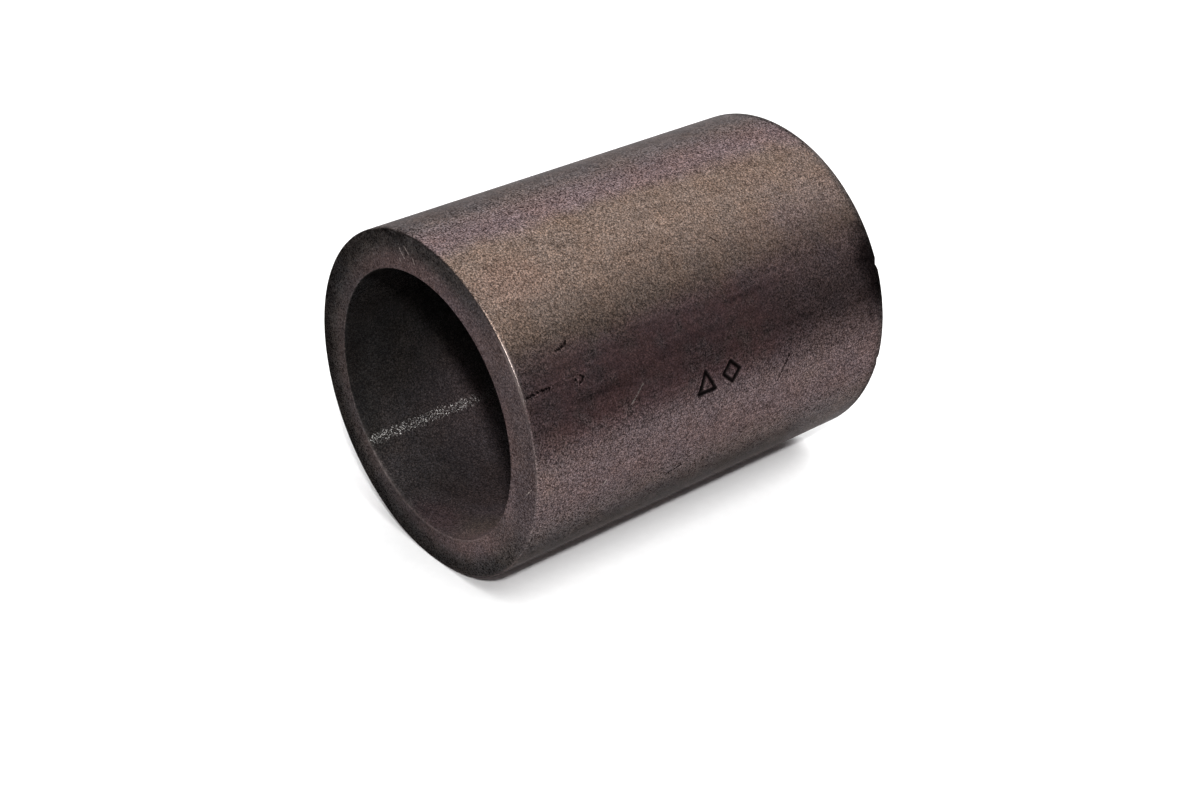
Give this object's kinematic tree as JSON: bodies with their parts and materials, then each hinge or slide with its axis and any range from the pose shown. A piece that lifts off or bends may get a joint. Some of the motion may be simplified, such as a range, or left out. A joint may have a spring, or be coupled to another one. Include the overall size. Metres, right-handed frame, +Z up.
{
  "type": "sleeve bushing",
  "caption": "Plain cylindrical sleeve bushing in sintered bronze, a running bore for a shaft inside a wall pressed into a housing.",
  "frame": {"origin": "on the bore axis, half way along the bore", "axes": "+Y along the bore axis, +Z up with the sleeve lying on its side; both ends are alike"},
  "size_m": [0.036, 0.046, 0.036],
  "materials": {
    "sintered_bronze": "dull grainy sintered bronze, dark with oil"
  },
  "bodies": {
    "root": {"bushing_sleeve": "sintered_bronze"}
  },
  "joints": []
}
